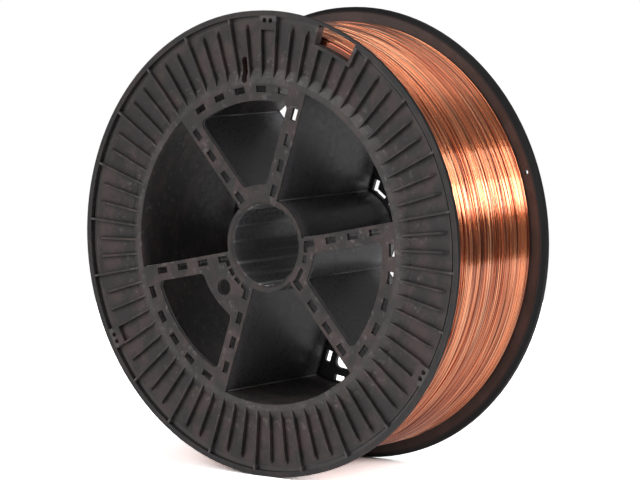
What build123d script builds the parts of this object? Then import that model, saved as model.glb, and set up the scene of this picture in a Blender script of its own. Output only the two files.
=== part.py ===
# Wire spool for MIG welding, 300 mm size, wound full of copper coated wire.
# The spool is one plastic moulding: two ribbed flanges, a barrel, a hub tube and six
# radial webs. The spool's axis lies along Y, its front flange faces -Y, and it stands
# on the rims of its flanges. The origin is the middle of the spool.
from build123d import *
from math import cos, radians, sin, tan
import os

# Standard sizes of the spool
flange_diameter = 300.0
spool_width = 103.0
barrel_diameter = 212.0
bore_diameter = 52.0
drive_hole_diameter = 10.5
drive_hole_radius = 44.5

# Walls of the moulding
flange_depth = 6.0
plate_thickness = 2.5
barrel_wall = 3.0
hub_wall = 4.3
web_thickness = 2.0
bore_lead_in = 1.8
wall_overlap = 1.0

# Turn of the whole spool about its axis, as it stands
stand_angle = 11.5

# Rim of a flange, from the outside inwards
lip_width = 3.3
lip_depth = 3.0
groove_width = 3.0
groove_depth = 3.8
rib_gap = 2.0

# Ribbed panel of a flange
panel_depth = 3.0
panel_ramp = 6.0
inner_ring_width = 4.0
rib_thickness = 1.3
rib_pitch = 5.0
ribs_per_long_rib = 3
rib_nose = 3.8

# Framed sectors: a face plate with a window and rows of slots
frame_sectors = 3
frame_band = 11.0
frame_arc_width = 10.3
window_corner = 3.5
hub_plate_radius = 39.0
drive_plate_radius = 55.0
slot_length = 8.0
slot_width = 4.2
arc_slot_radius = 100.0
arc_slot_pitch = 10.0
arc_slots = 5
web_slot_first = 35.5
web_slot_pitch = 17.35
web_slots = 4
web_slot_offset = 4.3
hub_slot_radius = 32.8
hub_slot_width = 3.0
hub_slot_length = 5.0
hub_slot_pitch = 12.0
hub_slots = 4
long_hub_slot_turn = 12.5

# Openings near the rim of the front flange
notch_angle = 55.4
notch_span = 11.8
notch_depth = 12.8
notch_strap = 1.7
notch_border = 2.2
start_slot_angle = 87.3
start_slot_inner = 104.5
start_slot_outer = 121.5
start_slot_width = 4.2
hook_hole_diameter = 3.2
hook_hole_radius = 143.8
hook_hole_gap = 4.8
hook_pad_angle = 77.5
back_hook_hole_angle = 352.4

# Winding of wire
winding_diameter = 281.0

# Derived sizes
flange_radius = flange_diameter / 2
barrel_radius = barrel_diameter / 2
barrel_inner = barrel_radius - barrel_wall
bore_radius = bore_diameter / 2
hub_radius = bore_radius + hub_wall
groove_outer = flange_radius - lip_width
lip_middle = groove_outer + lip_width / 2
groove_inner = groove_outer - groove_width
groove_middle = (groove_inner + groove_outer) / 2
rib_end = groove_inner - rib_gap
rib_nose_start = rib_end - rib_nose
panel_inner = barrel_inner + inner_ring_width
window_outer = barrel_inner - frame_arc_width
winding_width = spool_width - 2 * flange_depth
sector_angle = 180 / frame_sectors
first_frame = 1.5 * sector_angle
rib_count = round(360 / rib_pitch)
reach = flange_diameter

# The flange is drawn once, about its own axis, with its outer face at z = 0 and +Z outwards
with BuildPart() as flange:
    # Turned disc with a bevel behind its rim
    with BuildSketch(Plane.XZ):
        with BuildLine():
            Polyline(
                (barrel_inner, 0),
                (flange_radius, 0),
                (flange_radius, -lip_depth),
                (flange_radius - flange_depth + lip_depth, -flange_depth),
                (barrel_inner, -flange_depth),
                close=True,
            )
        make_face()
    revolve(axis=Axis.Z)

    # Pockets between the ribs, each with a ramp at its inner end
    with BuildPart(mode=Mode.PRIVATE) as pocket:
        rib_half = rib_thickness / 2 / cos(radians(rib_pitch / 2))
        inner_half = panel_inner * tan(radians(rib_pitch / 2)) - rib_half
        outer_half = groove_middle * tan(radians(rib_pitch / 2)) - rib_half
        with BuildSketch():
            with BuildLine():
                Polyline(
                    (panel_inner, -inner_half),
                    (groove_middle, -outer_half),
                    (groove_middle, outer_half),
                    (panel_inner, inner_half),
                    close=True,
                )
            make_face()
        extrude(amount=-panel_depth)
        with BuildSketch(Plane.XZ):
            with BuildLine():
                Polyline(
                    (panel_inner, 0),
                    (groove_middle, 0),
                    (groove_middle, -panel_depth),
                    (panel_inner + panel_ramp, -panel_depth),
                    close=True,
                )
            make_face()
        extrude(amount=outer_half, both=True, mode=Mode.INTERSECT)
    with PolarLocations(0, rib_count, start_angle=rib_pitch / 2):
        add(pocket.part, mode=Mode.SUBTRACT)

    # Each rib slopes down to the panel in a nose, before the groove
    with BuildPart(mode=Mode.PRIVATE) as nose_cut:
        with BuildSketch(Plane.XZ):
            with BuildLine():
                Polyline(
                    (rib_nose_start, 0),
                    (groove_middle, 0),
                    (groove_middle, -panel_depth),
                    (rib_end, -panel_depth),
                    close=True,
                )
            make_face()
        extrude(amount=rib_thickness, both=True)
    with PolarLocations(0, rib_count):
        add(nose_cut.part, mode=Mode.SUBTRACT)

    # Groove inside the lip
    with BuildSketch(Plane.XY.offset(-groove_depth)):
        Circle(groove_outer)
        Circle(groove_inner, mode=Mode.SUBTRACT)
    extrude(amount=groove_depth, mode=Mode.SUBTRACT)

    # Every third rib runs on, past the nose and through the groove, to the lip
    with BuildSketch(Plane.XY.offset(-groove_depth)):
        long_rib_start = rib_end - 2 * rib_nose
        long_rib_reach = lip_middle - long_rib_start
        with PolarLocations(long_rib_start, rib_count // ribs_per_long_rib):
            Rectangle(long_rib_reach, rib_thickness, align=(Align.MIN, Align.CENTER))
    extrude(amount=groove_depth)

    # Face plates of the framed sectors, with their windows and slots
    with BuildSketch(Plane.XY.offset(-plate_thickness)):
        Circle(barrel_inner + wall_overlap)
        with PolarLocations(0, frame_sectors, start_angle=first_frame + sector_angle):
            half = reach * tan(radians(sector_angle / 2))
            Polygon((0, 0), (reach, -half), (reach, half), align=None, mode=Mode.SUBTRACT)
        Circle(hub_radius - wall_overlap, mode=Mode.SUBTRACT)
        # Windows keep a band along each web and round the barrel, and leave a plate at the hub
        for sector in range(frame_sectors):
            centre = first_frame + sector * 2 * sector_angle
            plate_edge = drive_plate_radius if sector == 1 else hub_plate_radius
            with BuildSketch(mode=Mode.PRIVATE) as window:
                Circle(window_outer)
                Circle(plate_edge, mode=Mode.SUBTRACT)
                apex = frame_band / sin(radians(sector_angle / 2))
                side = (reach - apex) * tan(radians(sector_angle / 2))
                Polygon((apex, 0), (reach, -side), (reach, side), align=None, mode=Mode.INTERSECT)
                fillet(window.vertices(), window_corner)
            add(window.sketch, rotation=centre, mode=Mode.SUBTRACT)
            # Row of slots round the barrel
            row = arc_slot_pitch * (arc_slots - 1)
            with PolarLocations(arc_slot_radius, arc_slots, centre - row / 2, row, endpoint=True):
                Rectangle(slot_width, slot_length, mode=Mode.SUBTRACT)
            # Row of slots along each of the two webs
            for turn in (-1, 1):
                with Locations(Location((0, 0, 0), (0, 0, centre + turn * sector_angle / 2))):
                    row_places = [
                        (web_slot_first + web_slot_pitch * i, -turn * web_slot_offset)
                        for i in range(web_slots)
                    ]
                    with Locations(*row_places):
                        Rectangle(slot_length, slot_width, mode=Mode.SUBTRACT)
    extrude(amount=plate_thickness)

    # Slots round the hub, in the two sectors with the wider row
    with BuildSketch(Plane.XY.offset(-plate_thickness)):
        row = hub_slot_pitch * (hub_slots - 1)
        centre = first_frame + 2 * sector_angle
        with PolarLocations(hub_slot_radius, hub_slots, centre - row / 2, row, endpoint=True):
            Rectangle(hub_slot_width, hub_slot_length)
        centre = first_frame + 4 * sector_angle
        with PolarLocations(hub_slot_radius, 1, centre - long_hub_slot_turn):
            Rectangle(hub_slot_width, slot_length)
        with PolarLocations(hub_slot_radius, 2, centre + hub_slot_pitch / 2, hub_slot_pitch, endpoint=True):
            Rectangle(hub_slot_width, hub_slot_length)
    extrude(amount=plate_thickness, mode=Mode.SUBTRACT)

    # Hole that the driving pin of a wire feeder enters
    with BuildSketch():
        with PolarLocations(drive_hole_radius, 1, first_frame + 2 * sector_angle):
            Circle(drive_hole_diameter / 2)
    extrude(amount=-plate_thickness, mode=Mode.SUBTRACT)

# Both flanges share one drawing: the back one is turned half round about a web
web_direction = (cos(radians(stand_angle)), 0, sin(radians(stand_angle)))
front_face = Plane((0, -spool_width / 2, 0), x_dir=web_direction, z_dir=(0, -1, 0))
back_face = Plane((0, spool_width / 2, 0), x_dir=web_direction, z_dir=(0, 1, 0))

with BuildPart() as wire_spool:
    with Locations(front_face, back_face):
        add(flange.part)

    # Barrel, hub tube and webs run from face to face
    with BuildSketch(front_face):
        Circle(barrel_radius)
        Circle(barrel_inner, mode=Mode.SUBTRACT)
    extrude(amount=-spool_width)
    with BuildSketch(front_face):
        Circle(hub_radius)
        # Each web stands on the framed side of its 60 degree line
        with PolarLocations(0, frame_sectors, start_angle=sector_angle):
            Rectangle(barrel_inner + wall_overlap, web_thickness, align=(Align.MIN, Align.MIN))
        with PolarLocations(0, frame_sectors, start_angle=0):
            Rectangle(barrel_inner + wall_overlap, web_thickness, align=(Align.MIN, Align.MAX))
        Circle(bore_radius, mode=Mode.SUBTRACT)
    extrude(amount=-spool_width)

    # Lead in at both ends of the bore
    bore_ends = wire_spool.edges().filter_by(GeomType.CIRCLE)
    bore_ends = bore_ends.filter_by(lambda e: abs(e.radius - bore_radius) < 0.01)
    chamfer(bore_ends, bore_lead_in)

    # Notch in the front rim that leaves a thin strap, with a raised border round it
    notch_outer = flange_radius - notch_strap
    notch_inner = notch_outer - notch_depth
    notch_edge = reach * tan(radians(notch_span / 2))
    border_apex = -notch_border / sin(radians(notch_span / 2))
    with BuildSketch(front_face):
        with PolarLocations(0, 1, notch_angle):
            Polygon(
                (border_apex, 0),
                (border_apex + reach, -notch_edge),
                (border_apex + reach, notch_edge),
                align=None,
            )
        Circle(lip_middle, mode=Mode.INTERSECT)
        Circle(notch_inner - notch_border, mode=Mode.SUBTRACT)
    extrude(amount=-groove_depth)
    with BuildSketch(front_face):
        with PolarLocations(0, 1, notch_angle):
            Polygon((0, 0), (reach, -notch_edge), (reach, notch_edge), align=None)
        Circle(notch_outer, mode=Mode.INTERSECT)
        Circle(notch_inner, mode=Mode.SUBTRACT)
    extrude(amount=-flange_depth, mode=Mode.SUBTRACT)

    # Slot where the first turn of wire is hooked
    with BuildSketch(front_face):
        with PolarLocations((start_slot_inner + start_slot_outer) / 2, 1, start_slot_angle):
            SlotOverall(start_slot_outer - start_slot_inner, start_slot_width)
    extrude(amount=-flange_depth, mode=Mode.SUBTRACT)

    # Pairs of holes where the end of the wire is hooked, each pair in a pad between two ribs
    with BuildSketch(front_face):
        with PolarLocations(0, frame_sectors, hook_pad_angle):
            pad_edge = reach * tan(radians(rib_pitch / 2))
            Polygon((0, 0), (reach, -pad_edge), (reach, pad_edge), align=None)
        Circle(lip_middle, mode=Mode.INTERSECT)
        Circle(rib_nose_start, mode=Mode.SUBTRACT)
    extrude(amount=-groove_depth)
    with BuildSketch(front_face):
        with PolarLocations(hook_hole_radius, frame_sectors, hook_pad_angle):
            with Locations((0, hook_hole_gap / 2), (0, -hook_hole_gap / 2)):
                Circle(hook_hole_diameter / 2)
    extrude(amount=-flange_depth, mode=Mode.SUBTRACT)

    # One more such hole, through the thin bottom of the groove of the back rim
    with BuildSketch(back_face):
        with PolarLocations(hook_hole_radius, 1, back_hook_hole_angle):
            Circle(hook_hole_diameter / 2)
    extrude(amount=-flange_depth, mode=Mode.SUBTRACT)

# The wire is one turned solid that fills the space between barrel and flanges
with BuildPart() as wire_winding:
    with BuildSketch(Plane.XZ.offset(-winding_width / 2)):
        Circle(winding_diameter / 2)
        Circle(barrel_radius, mode=Mode.SUBTRACT)
    extrude(amount=winding_width)

os.makedirs("parts", exist_ok=True)
wire_spool.part.label = "wire_spool"
export_step(wire_spool.part, "parts/wire_spool.step")
wire_winding.part.label = "wire_winding"
export_step(wire_winding.part, "parts/wire_winding.step")
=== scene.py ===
# Wire spool for MIG welding: the finish of its black moulded plastic and its winding of
# copper coated wire. Lengths are metres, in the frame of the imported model: the spool's
# axis lies along Y, its front flange faces -Y, and the origin is its middle.
import math
import random

import bpy
from mathutils import Matrix, Vector, noise


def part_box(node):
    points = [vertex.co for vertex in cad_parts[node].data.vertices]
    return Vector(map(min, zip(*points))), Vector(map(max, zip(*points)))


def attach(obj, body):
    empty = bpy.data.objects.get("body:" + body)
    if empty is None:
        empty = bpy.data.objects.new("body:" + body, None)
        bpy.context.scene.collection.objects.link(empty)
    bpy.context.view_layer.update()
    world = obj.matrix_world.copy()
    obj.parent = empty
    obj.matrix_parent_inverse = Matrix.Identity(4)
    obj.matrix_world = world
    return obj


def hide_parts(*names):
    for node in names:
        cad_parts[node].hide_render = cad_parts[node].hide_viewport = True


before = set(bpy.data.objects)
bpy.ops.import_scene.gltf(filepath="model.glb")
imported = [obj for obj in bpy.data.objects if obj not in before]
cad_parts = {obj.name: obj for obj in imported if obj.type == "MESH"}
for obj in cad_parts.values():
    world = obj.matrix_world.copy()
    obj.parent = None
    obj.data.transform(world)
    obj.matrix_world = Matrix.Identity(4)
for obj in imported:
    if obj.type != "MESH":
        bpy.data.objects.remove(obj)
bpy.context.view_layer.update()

MM = 0.001
random.seed(7)

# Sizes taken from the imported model
_, winding_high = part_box("wire_winding")
spool_low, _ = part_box("wire_spool")
WINDING_RADIUS = winding_high.x
WINDING_HALF = winding_high.y
FLOOR_HEIGHT = spool_low.z

# Walls of the moulding. The webs stand 60 degrees apart, and every second cell has a frame
BARREL_RADIUS = 106 * MM
BARREL_INNER = 103 * MM
HUB_RADIUS = 30.3 * MM
WEB_THICKNESS = 2.0 * MM
WEBS = 6
FRAMES = 3
STAND_ANGLE = 11.5
FRAME_ANGLE = STAND_ANGLE + 90
FILLET_SIZE = 0.9 * MM
FILLET_HALF_LENGTH = 48.5 * MM

# Where zones of the moulding's finish fade in or out, as distances from the axis
BORE_END = (26.2 * MM, 26.8 * MM)
HUB_START = (28 * MM, 29 * MM)
BARREL_END = (101.5 * MM, 103.2 * MM)
RING_START = (102.5 * MM, 104.5 * MM)
RING_END = (108 * MM, 116 * MM)
WEAR_END = (118 * MM, 130 * MM)
CORNER_SHADE_END = (138.5 * MM, 140 * MM)
BARE_FLANGE_START = (139.5 * MM, 140.5 * MM)
GROOVE_START = (143.2 * MM, 143.8 * MM)
GROOVE_END = (146.6 * MM, 146.9 * MM)
LIP_START = (146.2 * MM, 147 * MM)

# The same, as distances along the axis from the middle
BARE_FLANGE_END = (45.6 * MM, 46.2 * MM)
GROOVE_FLOOR = (47 * MM, 47.5 * MM)
WALLS_END = (49.3 * MM, 50.3 * MM)
RIM_SIDE_END = (50.8 * MM, 51.4 * MM)

# Colours of the plastic
PLASTIC_DARK = (0.021, 0.020, 0.0195, 1)
PLASTIC_PALE = (0.047, 0.042, 0.041, 1)
DUST_BROWN = (0.078, 0.053, 0.051, 1)
RING_PALE_GREY = (0.088, 0.083, 0.081, 1)
WEAR_GREY = (0.17, 0.15, 0.145, 1)
# Painted shade on the lip and the rim's side, and painted light in the groove
LIP_SHADE = (0.016, 0.016, 0.018, 1)
GROOVE_LIGHT = (0.13, 0.12, 0.12, 1)
RIM_SHADE = (0.007, 0.0065, 0.007, 1)
# Painted light on the walls inside the cells
OPEN_CELL_LIGHT = (0.076, 0.073, 0.078, 1)
FRAMED_CELL_LIGHT = (0.175, 0.170, 0.180, 1)
STREAK_GREY = (0.25, 0.245, 0.25, 1)
# Painted reflection of the copper on the flanges
COPPER_REFLECTION_BROWN = (0.105, 0.062, 0.052, 1)
# Painted shade for the corners
CORNER_SHADE_BLACK = (0.008, 0.008, 0.008, 1)
# Painted highlight: the fillets' paler colours
FILLET_HIGHLIGHT_DARK = (0.10, 0.10, 0.10, 1)
FILLET_HIGHLIGHT_PALE = (0.26, 0.25, 0.245, 1)

# Colours of the copper coating
COPPER_DARK = (0.44, 0.100, 0.036, 1)
COPPER_BRIGHT = (0.87, 0.285, 0.120, 1)
COPPER_THIN = (0.98, 0.56, 0.33, 1)
# Painted shade of the gaps between turns
COPPER_GAP_SHADE = (0.15, 0.033, 0.012, 1)
COPPER_DULL = (0.42, 0.125, 0.05, 1)

# Wire, and how deep the ridged drum of the layers below lies
WIRE = 1.2 * MM
CORE_DEPTH = 1.5 * WIRE
TURN_STEPS = 180
TURN_SIDES = 7
TURN_PIECES = 3
END_STEPS = 120
END_SIDES = 6
CORE_STEPS = 120

# Strands of the top layer: how far round (degrees) and across (wire thicknesses) one may run,
# how near the ends it may begin, the part of its length over which an end dips, and the
# degrees of one step
STRANDS = 60
STRAND_SWEEP = (60, 210)
STRAND_SHIFT = (1.5, 6.0)
STRAND_REACH = 0.93
STRAND_DIP = 0.16
STRAND_STEP = 2.2

# Unevenness of the turns: how far in wire thicknesses, how unlike its neighbours a turn is,
# how quickly it changes round the spool, and the place in the noise where it is read
SLOW_WANDER = (0.9, 0.12, 0.7, 0.0)
QUICK_WANDER = (0.3, 0.9, 1.3, 9.0)
RISE = (0.7, 1.7, 0.9, 20.0)
END_WANDER = (0.5, 0.3, 1.4, 40.0)
END_DEPTH = (0.5, 1.3, 1.9, 60.0)

# Floor, and the world: a ray's height, and the world's strength there, low and high
FLOOR_RADIUS = 0.95
FLOOR_STEPS = 96
FLOOR_PALE = (0.90, 0.90, 0.90, 1)
FLOOR_TO_CAMERA = (2.5, 2.5, 2.5, 1)
WORLD_HEIGHTS = (0.05, 0.75)
WORLD_STRENGTHS = (0.16, 0.26)

# Camera: where it looks from and how much it takes in
CAMERA_AZIMUTH = 36.83
CAMERA_ELEVATION = 5.65
CAMERA_DISTANCE = 2.142
CAMERA_TARGET = Vector((0.00578, 0, -0.0005))
FOCAL_PIXELS = 3285.0
PICTURE_WIDTH = 640
SENSOR_WIDTH = 36.0


def add_object(name, data):
    piece = bpy.data.objects.new(name, data)
    bpy.context.scene.collection.objects.link(piece)
    return piece


def mesh_object(name, verts, faces, material):
    mesh = bpy.data.meshes.new(name)
    mesh.from_pydata(verts, [], faces)
    mesh.materials.append(material)
    mesh.polygons.foreach_set("use_smooth", [True] * len(faces))
    mesh.update()
    return add_object(name, mesh)


# Materials

class Nodes:
    """A material's node tree, with short calls for the nodes that these finishes use."""

    def __init__(self, name):
        self.material = bpy.data.materials.new(name)
        self.material.use_nodes = True
        self.tree = self.material.node_tree
        self.shader = self.tree.nodes["Principled BSDF"]

    def add(self, kind, **settings):
        node = self.tree.nodes.new(kind)
        for key, value in settings.items():
            setattr(node, key, value)
        return node

    def link(self, output, socket):
        self.tree.links.new(output, socket)

    def feed(self, node, name, value):
        """Sets a socket to a number or a colour, or links it to an output."""
        socket = node.inputs[name]
        if isinstance(value, bpy.types.NodeSocket):
            self.link(value, socket)
        else:
            socket.default_value = value

    def position(self):
        return self.add("ShaderNodeTexCoord").outputs["Object"]

    def scaled(self, vector, factors):
        node = self.add("ShaderNodeVectorMath", operation="MULTIPLY")
        self.feed(node, 0, vector)
        self.feed(node, 1, factors)
        return node.outputs[0]

    def noise(self, vector, scale, detail=3.0, roughness=0.55):
        node = self.add("ShaderNodeTexNoise")
        self.feed(node, "Vector", vector)
        self.feed(node, "Scale", scale)
        self.feed(node, "Detail", detail)
        self.feed(node, "Roughness", roughness)
        return node.outputs["Fac"]

    def span(self, value, low, high, out_low=0.0, out_high=1.0):
        """Maps low..high to out_low..out_high smoothly, and stays there beyond them."""
        node = self.add("ShaderNodeMapRange", interpolation_type="SMOOTHSTEP")
        self.feed(node, "Value", value)
        self.feed(node, "From Min", low)
        self.feed(node, "From Max", high)
        self.feed(node, "To Min", out_low)
        self.feed(node, "To Max", out_high)
        return node.outputs["Result"]

    def maths(self, operation, a, b=0.0):
        node = self.add("ShaderNodeMath", operation=operation)
        self.feed(node, 0, a)
        self.feed(node, 1, b)
        return node.outputs[0]

    def times(self, a, b):
        return self.maths("MULTIPLY", a, b)

    def fade_in(self, value, edge):
        """0 before the edge, and 1 beyond it."""
        return self.span(value, *edge)

    def fade_out(self, value, edge, before=1.0, beyond=0.0):
        """1 before the edge and 0 beyond it, or the two values given."""
        return self.span(value, *edge, before, beyond)

    def mix(self, factor, a, b):
        node = self.add("ShaderNodeMix", data_type="RGBA")
        self.feed(node, 0, factor)
        self.feed(node, 6, a)
        self.feed(node, 7, b)
        return node.outputs[2]

    def bump(self, height, distance, strength=1.0, normal=None):
        node = self.add("ShaderNodeBump")
        self.feed(node, "Height", height)
        self.feed(node, "Distance", distance)
        self.feed(node, "Strength", strength)
        if normal is not None:
            self.feed(node, "Normal", normal)
        return node.outputs["Normal"]


def from_axis(nodes, vector):
    """Distance from the spool's axis, distance along it from the middle, and angle about it."""
    flat = nodes.scaled(vector, (1, 0, 1))
    length = nodes.add("ShaderNodeVectorMath", operation="LENGTH")
    nodes.feed(length, 0, flat)
    parts = nodes.add("ShaderNodeSeparateXYZ")
    nodes.feed(parts, 0, vector)
    along = nodes.maths("ABSOLUTE", parts.outputs["Y"])
    angle = nodes.maths("ARCTAN2", parts.outputs["Z"], parts.outputs["X"])
    return length.outputs["Value"], along, angle


def plastic_material():
    """Black moulded plastic: mottling, copper dust, wear marks and a paler patchy ring, with a
    satin gloss; painted shade in the corners and on the lip and rim, painted light in the groove
    and the cells, and a painted reflection of the copper on the flanges.
    """
    nodes = Nodes("moulded_plastic")
    place = nodes.position()
    radius, along, angle = from_axis(nodes, place)

    # The walls inside came off a polished core, and no hand has rubbed them
    polished = nodes.times(nodes.fade_out(radius, BARREL_END), nodes.fade_out(along, WALLS_END))
    handled = nodes.maths("SUBTRACT", 1.0, nodes.times(polished, 0.85))

    colour = nodes.mix(nodes.noise(place, 45.0, 4.0), PLASTIC_DARK, PLASTIC_PALE)
    dust = nodes.noise(nodes.scaled(place, (1, 1.4, 0.8)), 55.0, 5.0, 0.62)
    dust = nodes.times(nodes.span(dust, 0.44, 0.62, 0.0, 0.85), handled)
    colour = nodes.mix(dust, colour, DUST_BROWN)

    # A paler, patchy ring round the barrel and the ribs' inner ends
    ring = nodes.times(nodes.fade_in(radius, RING_START), nodes.fade_out(radius, RING_END))
    patches = nodes.span(nodes.noise(place, 120.0, 5.0, 0.7), 0.35, 0.75, 0.15, 0.75)
    colour = nodes.mix(nodes.times(ring, patches), colour, RING_PALE_GREY)

    # Wear has left small pale marks on the plates and at the ribs' inner ends
    marks = nodes.span(nodes.noise(place, 260.0, 4.0, 0.65), 0.56, 0.72, 0.0, 0.7)
    worn = nodes.times(handled, nodes.fade_out(radius, WEAR_END, 1.0, 0.25))
    colour = nodes.mix(nodes.times(marks, worn), colour, WEAR_GREY)

    # Painted shade darkens the lip, and darkens the rim's side most; painted light makes the
    # groove inside the lip paler
    lip = nodes.fade_in(radius, LIP_START)
    colour = nodes.mix(nodes.times(lip, 0.5), colour, LIP_SHADE)
    groove_light = nodes.fade_in(radius, GROOVE_START)
    groove_light = nodes.times(groove_light, nodes.fade_out(radius, GROOVE_END, 0.5))
    groove_light = nodes.times(groove_light, nodes.fade_in(along, GROOVE_FLOOR))
    colour = nodes.mix(groove_light, colour, GROOVE_LIGHT)
    rim_side = nodes.times(lip, nodes.fade_out(along, RIM_SIDE_END))
    colour = nodes.mix(rim_side, colour, RIM_SHADE)

    # Painted light: the walls inside the cells are painted paler, and those behind the frames,
    # which get less light, paler still
    turn = nodes.maths("SUBTRACT", angle, math.radians(FRAME_ANGLE))
    framed = nodes.maths("COSINE", nodes.times(turn, FRAMES))
    framed = nodes.times(nodes.span(framed, 0.01, 0.04), nodes.fade_in(radius, HUB_START))
    cell_light = nodes.mix(framed, OPEN_CELL_LIGHT, FRAMED_CELL_LIGHT)
    colour = nodes.mix(nodes.times(polished, 0.9), colour, cell_light)

    # Spindles have drawn pale streaks along the bore
    streaks = nodes.noise(nodes.scaled(place, (260, 6, 260)), 1.0, 3.0)
    streaks = nodes.times(nodes.span(streaks, 0.45, 0.62), nodes.fade_out(radius, BORE_END))
    colour = nodes.mix(streaks, colour, STREAK_GREY)

    # Painted reflection: the copper of the winding shows as a brown tint painted on the bare part
    # of the flanges outside it
    copper_reflection = nodes.fade_in(radius, BARE_FLANGE_START)
    copper_reflection = nodes.times(copper_reflection, nodes.fade_out(along, BARE_FLANGE_END, 0.28))
    colour = nodes.mix(copper_reflection, colour, COPPER_REFLECTION_BROWN)

    # Painted shade: ambient occlusion darkens the corners beside the ribs and walls, and only a
    # little near the rim
    corners = nodes.add("ShaderNodeAmbientOcclusion", samples=8)
    nodes.feed(corners, "Distance", 3.0 * MM)
    corner_shade = nodes.span(corners.outputs["AO"], 0.35, 0.85, 0.75, 0.0)
    corner_shade = nodes.times(corner_shade, nodes.fade_out(radius, CORNER_SHADE_END, 1.0, 0.1))
    colour = nodes.mix(corner_shade, colour, CORNER_SHADE_BLACK)
    nodes.feed(nodes.shader, "Base Color", colour)

    rough = nodes.span(nodes.noise(place, 300.0, 4.0), 0.3, 0.7, 0.40, 0.54)
    rough = nodes.maths("SUBTRACT", rough, nodes.times(polished, 0.16))
    nodes.feed(nodes.shader, "Roughness", rough)
    nodes.feed(nodes.shader, "IOR", 1.49)
    gloss = nodes.maths("SUBTRACT", 0.5, nodes.times(rim_side, 0.30))
    nodes.feed(nodes.shader, "Specular IOR Level", gloss)

    flow = nodes.bump(nodes.noise(place, 160.0, 2.0), 0.25 * MM, 0.35)
    skin = nodes.bump(nodes.noise(place, 1500.0, 3.0), 0.05 * MM, 0.3, flow)
    nodes.feed(nodes.shader, "Normal", skin)
    return nodes.material


def fillet_material():
    """The same plastic off the polished corners of the core: glossier, and painted paler as a
    painted highlight along the fillets.
    """
    nodes = Nodes("moulded_plastic_fillet")
    colour = nodes.mix(nodes.noise(nodes.position(), 40.0, 2.0), FILLET_HIGHLIGHT_DARK, FILLET_HIGHLIGHT_PALE)
    nodes.feed(nodes.shader, "Base Color", colour)
    nodes.feed(nodes.shader, "Roughness", 0.3)
    return nodes.material


def copper_material():
    """Copper coated wire: each turn has its own tone, with dull patches along its length and
    painted shade between the turns.
    """
    nodes = Nodes("coppered_wire")
    place = nodes.position()
    turns = nodes.noise(nodes.scaled(place, (4, 640, 4)), 1.0, 3.0, 0.65)
    bands = nodes.noise(nodes.scaled(place, (5, 160, 5)), 1.0, 2.0, 0.5)
    tone = nodes.maths("ADD", nodes.times(turns, 0.6), nodes.times(bands, 0.4))
    colour = nodes.mix(nodes.span(tone, 0.44, 0.56), COPPER_DARK, COPPER_BRIGHT)

    # Here and there a turn's coating is thin and paler, and painted shade draws dark lines for the
    # gaps between turns
    thin = nodes.noise(nodes.scaled(place, (9, 1300, 9)), 1.0, 1.0)
    colour = nodes.mix(nodes.span(thin, 0.55, 0.65, 0.0, 0.5), colour, COPPER_THIN)
    gap_shade = nodes.noise(nodes.scaled(place, (5, 560, 5)), 1.0, 2.0, 0.6)
    colour = nodes.mix(nodes.span(gap_shade, 0.38, 0.44, 0.85, 0.0), colour, COPPER_GAP_SHADE)
    tarnish = nodes.span(nodes.noise(place, 60.0, 4.0, 0.65), 0.55, 0.75, 0.0, 0.35)
    colour = nodes.mix(tarnish, colour, COPPER_DULL)
    nodes.feed(nodes.shader, "Base Color", colour)
    nodes.feed(nodes.shader, "Metallic", 1.0)

    grain = nodes.noise(nodes.scaled(place, (60, 2500, 60)), 1.0, 2.0)
    nodes.feed(nodes.shader, "Roughness", nodes.span(grain, 0.3, 0.7, 0.12, 0.22))
    # A film of drawing soap gives the highlights a paler gloss
    nodes.feed(nodes.shader, "Coat Weight", 0.8)
    nodes.feed(nodes.shader, "Coat IOR", 1.65)
    nodes.feed(nodes.shader, "Coat Roughness", 0.06)
    return nodes.material


# Winding

def tube_rings(path, radius, sides, closed, verts, faces):
    """Adds a tube round a path of (angle, distance from the axis, distance along it)."""
    first = len(verts)
    count = len(path)
    for angle, out, along in path:
        for side in range(sides):
            turn = 2 * math.pi * side / sides
            reach = out + radius * math.cos(turn)
            place = along + radius * math.sin(turn)
            verts.append((reach * math.cos(angle), place, reach * math.sin(angle)))
    for i in range(count if closed else count - 1):
        j = (i + 1) % count
        for side in range(sides):
            after = (side + 1) % sides
            faces.append((first + i * sides + side, first + i * sides + after,
                          first + j * sides + after, first + j * sides + side))
    if not closed:
        faces.append([first + side for side in reversed(range(sides))])
        faces.append([first + (count - 1) * sides + side for side in range(sides)])


def unevenness(kind, turn, angle, end=0):
    """How far a turn strays from its place: smoothly, and the same again after a full circle."""
    amount, contrast, size, seed = kind
    across = size * math.sin(angle) + (seed + end)
    spot = Vector((turn * contrast, size * math.cos(angle), across))
    return amount * WIRE * noise.noise(spot)


def outer_turns(material):
    """The last full layer, in pieces side by side, laid as unevenly as a machine lays it."""
    count = int(2 * WINDING_HALF / WIRE) - 1
    top = WINDING_RADIUS - 0.6 * WIRE
    limit = WINDING_HALF - WIRE / 2
    for piece in range(TURN_PIECES):
        verts, faces = [], []
        for turn in range(piece * count // TURN_PIECES, (piece + 1) * count // TURN_PIECES):
            middle = -WINDING_HALF + WIRE * (turn + 1)
            path = []
            for step in range(TURN_STEPS):
                angle = 2 * math.pi * step / TURN_STEPS
                wander = unevenness(SLOW_WANDER, turn, angle)
                wander += unevenness(QUICK_WANDER, turn, angle)
                along = max(-limit, min(limit, middle + wander))
                path.append((angle, top + unevenness(RISE, turn, angle), along))
            tube_rings(path, WIRE / 2, TURN_SIDES, True, verts, faces)
        keep_as_winding(mesh_object(f"wire_turns_{piece + 1}", verts, faces, material))


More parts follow.
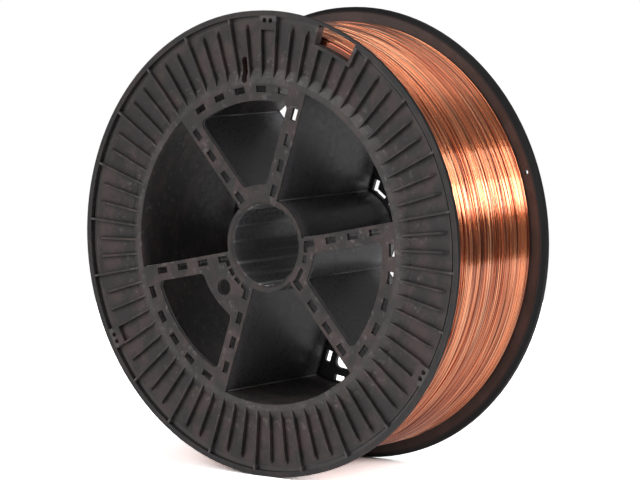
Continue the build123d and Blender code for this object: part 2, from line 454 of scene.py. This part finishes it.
def crossing_strands(material):
    """Strands of the unfinished top layer, which cross the turns below at a small angle."""
    limit = WINDING_HALF - 0.8 * WIRE
    verts, faces = [], []
    for _ in range(STRANDS):
        start = random.uniform(0, 2 * math.pi)
        sweep = math.radians(random.uniform(*STRAND_SWEEP))
        begin = random.uniform(-STRAND_REACH, STRAND_REACH) * WINDING_HALF
        shift = random.choice((-1, 1)) * random.uniform(*STRAND_SHIFT) * WIRE
        steps = int(sweep / math.radians(STRAND_STEP))
        path = []
        for step in range(steps + 1):
            part = step / steps
            ease = part * part * (3 - 2 * part)
            # Both ends dip under the turns beside them
            edge = min(part, 1 - part) / STRAND_DIP
            rise = 1 - max(0.0, 1 - edge) ** 2
            along = max(-limit, min(limit, begin + shift * ease))
            out = WINDING_RADIUS - 0.1 * WIRE - 1.1 * WIRE * (1 - rise)
            path.append((start + sweep * part, out, along))
        tube_rings(path, WIRE / 2, TURN_SIDES, False, verts, faces)
    keep_as_winding(mesh_object("wire_top_strands", verts, faces, material))


def end_turns(material):
    """The turns that show at the two ends of the winding, behind the openings of the flanges."""
    count = int((WINDING_RADIUS - BARREL_RADIUS) / WIRE) - 1
    for name, side in (("front", -1), ("back", 1)):
        verts, faces = [], []
        for turn in range(count):
            middle = BARREL_RADIUS + WIRE * (turn + 0.5)
            path = []
            for step in range(END_STEPS):
                angle = 2 * math.pi * step / END_STEPS
                wander = unevenness(END_WANDER, turn, angle, side)
                depth = 0.55 * WIRE + abs(unevenness(END_DEPTH, turn, angle, side))
                path.append((angle, middle + wander, side * (WINDING_HALF - depth)))
            tube_rings(path, WIRE / 2, END_SIDES, True, verts, faces)
        keep_as_winding(mesh_object(f"wire_ends_{name}", verts, faces, material))


def winding_core(material):
    """The layers below, turned as one ridged drum that shows in the gaps between the turns."""
    half = WINDING_HALF - 1.3 * WIRE
    top = WINDING_RADIUS - CORE_DEPTH
    valley = top - 0.35 * WIRE
    ridges = int(2 * half / WIRE)
    pitch = 2 * half / ridges
    profile = [(BARREL_RADIUS, -half)]
    for ridge in range(ridges):
        start = -half + 2 * half * ridge / ridges
        profile.append((valley, start))
        profile.append((top, start + 0.3 * pitch))
        profile.append((top, start + 0.7 * pitch))
    profile.append((valley, half))
    profile.append((BARREL_RADIUS, half))
    verts = []
    for step in range(CORE_STEPS):
        angle = 2 * math.pi * step / CORE_STEPS
        for out, along in profile:
            verts.append((out * math.cos(angle), along, out * math.sin(angle)))
    faces = []
    size = len(profile)
    for step in range(CORE_STEPS):
        after = (step + 1) % CORE_STEPS
        for i in range(size):
            j = (i + 1) % size
            faces.append((step * size + i, step * size + j, after * size + j, after * size + i))
    keep_as_winding(mesh_object("wire_core", verts, faces, material))


def keep_as_winding(piece):
    """The piece moves with the spool and stands for the turned solid of the winding."""
    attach(piece, "root")
    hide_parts("wire_winding")


# Spool

def finish_spool(material):
    """The moulding keeps its CAD shape and gets the plastic's finish."""
    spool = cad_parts["wire_spool"]
    spool.data.materials.clear()
    spool.data.materials.append(material)


def fillet_prism(corner, on_web, on_wall, verts, faces):
    """Adds one fillet along the spool, from its corner and the directions along both walls."""
    outline = [(1.0, -0.1), (0.4, 0.12), (0.12, 0.4), (-0.1, 1.0), (-0.1, -0.1)]
    if on_web.cross(on_wall).y < 0:
        outline.reverse()
    first = len(verts)
    count = len(outline)
    for place in (-FILLET_HALF_LENGTH, FILLET_HALF_LENGTH):
        for web_part, wall_part in outline:
            spot = corner + FILLET_SIZE * (on_web * web_part + on_wall * wall_part)
            verts.append((spot.x, place, spot.z))
    for i in range(count):
        j = (i + 1) % count
        faces.append((first + i, first + j, first + count + j, first + count + i))
    faces.append([first + i for i in reversed(range(count))])
    faces.append([first + count + i for i in range(count)])


def corner_fillets(material):
    """Small fillets where each web meets the barrel and the hub: they catch the light as lines,
    helped by a painted highlight in their paler colour.
    """
    verts, faces = [], []
    for web in range(WEBS):
        angle = math.radians(STAND_ANGLE + 360 / WEBS * web)
        along = Vector((math.cos(angle), 0, math.sin(angle)))
        across = Vector((-math.sin(angle), 0, math.cos(angle)))
        # A web has its thickness on the framed side of its line
        side = 1 if web % 2 else -1
        for offset, away in ((0, -side), (side * WEB_THICKNESS, side)):
            for radius, inwards in ((BARREL_INNER, -1), (HUB_RADIUS, 1)):
                corner = along * math.sqrt(radius ** 2 - offset ** 2) + across * offset
                fillet_prism(corner, along * inwards, across * away, verts, faces)
    piece = mesh_object("web_fillets", verts, faces, material)
    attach(piece, "root")


# Stage, lights and camera

def floor_material():
    """A pale floor that renders white to the camera outside the shadow."""
    nodes = Nodes("floor")
    rays = nodes.add("ShaderNodeLightPath")
    colour = nodes.mix(rays.outputs["Is Camera Ray"], FLOOR_PALE, FLOOR_TO_CAMERA)
    diffuse = nodes.add("ShaderNodeBsdfDiffuse")
    nodes.feed(diffuse, "Color", colour)
    nodes.link(diffuse.outputs[0], nodes.tree.nodes["Material Output"].inputs["Surface"])
    nodes.tree.nodes.remove(nodes.shader)
    return nodes.material


def build_floor():
    verts = [(0, 0, FLOOR_HEIGHT)]
    for step in range(FLOOR_STEPS):
        angle = 2 * math.pi * step / FLOOR_STEPS
        x = FLOOR_RADIUS * math.cos(angle)
        y = FLOOR_RADIUS * math.sin(angle)
        verts.append((x, y, FLOOR_HEIGHT))
    faces = [(0, i + 1, (i + 1) % FLOOR_STEPS + 1) for i in range(FLOOR_STEPS)]
    mesh_object("floor", verts, faces, floor_material())


def build_world():
    """White to the camera. In reflections and as light: pale above, and dim near the horizon."""
    world = bpy.data.worlds.new("studio")
    world.use_nodes = True
    tree = world.node_tree
    background = tree.nodes["Background"]
    rays = tree.nodes.new("ShaderNodeLightPath")
    place = tree.nodes.new("ShaderNodeTexCoord")
    parts = tree.nodes.new("ShaderNodeSeparateXYZ")
    ramp = tree.nodes.new("ShaderNodeMapRange")
    ramp.interpolation_type = "SMOOTHSTEP"
    ramp.inputs["From Min"].default_value = WORLD_HEIGHTS[0]
    ramp.inputs["From Max"].default_value = WORLD_HEIGHTS[1]
    ramp.inputs["To Min"].default_value = WORLD_STRENGTHS[0]
    ramp.inputs["To Max"].default_value = WORLD_STRENGTHS[1]
    mix = tree.nodes.new("ShaderNodeMix")
    mix.inputs[3].default_value = 1.0
    tree.links.new(place.outputs["Generated"], parts.inputs[0])
    tree.links.new(parts.outputs["Z"], ramp.inputs["Value"])
    tree.links.new(rays.outputs["Is Camera Ray"], mix.inputs[0])
    tree.links.new(ramp.outputs["Result"], mix.inputs[2])
    tree.links.new(mix.outputs[0], background.inputs["Strength"])
    background.inputs["Color"].default_value = (1, 1, 1, 1)
    bpy.context.scene.world = world


def soft_box(name, azimuth, elevation, distance, width, height, radiance):
    """A rectangular lamp that faces the spool, with the brightness of its surface given."""
    lamp = bpy.data.lights.new(name, "AREA")
    lamp.shape = "RECTANGLE"
    lamp.size = width
    lamp.size_y = height
    lamp.energy = radiance * math.pi * width * height
    piece = add_object(name, lamp)
    piece.matrix_world = facing(azimuth, elevation, distance, Vector((0, 0, 0)))


def facing(azimuth, elevation, distance, target):
    """A place seen from the target at these angles, turned to look back at it. Azimuth 0 is -Y."""
    turn = math.radians(azimuth)
    tilt = math.radians(elevation)
    level = math.cos(tilt)
    back = Vector((math.sin(turn) * level, -math.cos(turn) * level, math.sin(tilt)))
    right = Vector((math.cos(turn), math.sin(turn), 0))
    up = back.cross(right)
    spot = target + distance * back
    return Matrix((
        (right.x, up.x, back.x, spot.x),
        (right.y, up.y, back.y, spot.y),
        (right.z, up.z, back.z, spot.z),
        (0, 0, 0, 1),
    ))


def build_lights():
    # Azimuth, elevation and distance, then width, height and radiance
    soft_box("light_side", 94, 23, 1.3, 0.60, 0.62, 6.5)
    soft_box("light_side_core", 94, 18, 1.28, 0.60, 0.24, 13.0)
    soft_box("light_front", -18, 28, 1.8, 1.5, 1.2, 3.1)
    soft_box("light_top", 60, 80, 1.4, 1.1, 0.9, 1.0)
    soft_box("light_back", 205, 3, 1.5, 0.3, 0.3, 14.0)


def build_camera():
    camera = add_object("camera", bpy.data.cameras.new("camera"))
    camera.data.sensor_width = SENSOR_WIDTH
    camera.data.lens = FOCAL_PIXELS / PICTURE_WIDTH * SENSOR_WIDTH
    camera.data.clip_start = 0.01
    camera.matrix_world = facing(CAMERA_AZIMUTH, CAMERA_ELEVATION, CAMERA_DISTANCE, CAMERA_TARGET)
    bpy.context.scene.camera = camera


finish_spool(plastic_material())
corner_fillets(fillet_material())
copper = copper_material()
winding_core(copper)
outer_turns(copper)
crossing_strands(copper)
end_turns(copper)
build_floor()
build_world()
build_lights()
build_camera()
bpy.context.scene.view_settings.view_transform = "Standard"
